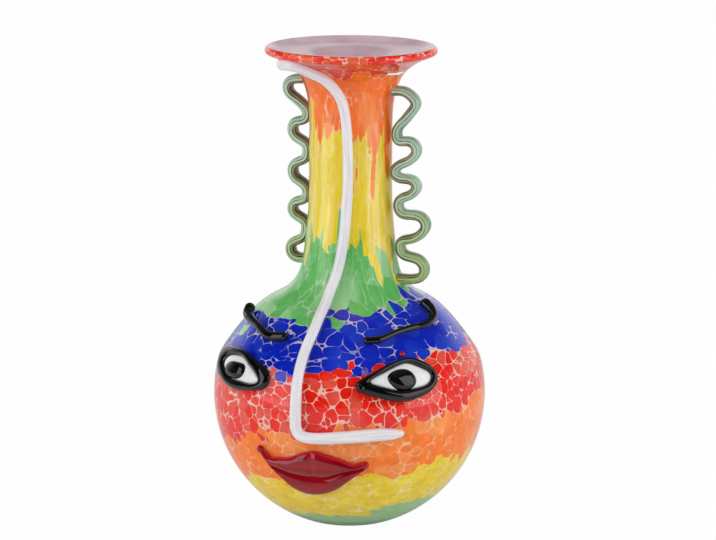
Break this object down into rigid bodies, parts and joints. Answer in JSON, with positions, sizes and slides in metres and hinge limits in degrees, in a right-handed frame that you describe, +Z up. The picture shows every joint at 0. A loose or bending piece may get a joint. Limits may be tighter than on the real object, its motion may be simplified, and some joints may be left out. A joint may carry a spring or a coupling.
{
  "type": "face vase",
  "caption": "Tall cased-glass vase with round body, slim neck and flared lip, carrying a face of applied glass trails and wavy trails for ears.",
  "frame": {"origin": "middle of the flat ground base, on the surface the vase stands on", "axes": "+Z up the vase's axis, the middle of the face towards -Y, +X to the viewer's right when facing it"},
  "size_m": [0.2149, 0.2206, 0.376],
  "materials": {
    "clear_glass": "clear casing, fire polished",
    "flecked_glass": "opaque frit flecks in red, orange, yellow, green and blue bands",
    "opal_glass": "opal lining, glossy",
    "white_glass": "opaque white trail glass, glossy",
    "black_glass": "opaque black trail glass, glossy",
    "red_glass": "deep red glass, glossy",
    "green_glass": "sea-green strap glass with dark streaks, glossy"
  },
  "bodies": {
    "root": {"clear_casing": "clear_glass", "frit_layer": "flecked_glass", "inner_lining": "opal_glass", "nose_trail": "white_glass", "right_eye_white": "white_glass", "left_eye_white": "white_glass", "right_brow": "black_glass", "left_brow": "black_glass", "right_eye_rim": "black_glass", "left_eye_rim": "black_glass", "right_pupil": "black_glass", "left_pupil": "black_glass", "upper_lip": "red_glass", "lower_lip": "red_glass", "right_ear_trail": "green_glass", "left_ear_trail": "green_glass"}
  },
  "joints": []
}
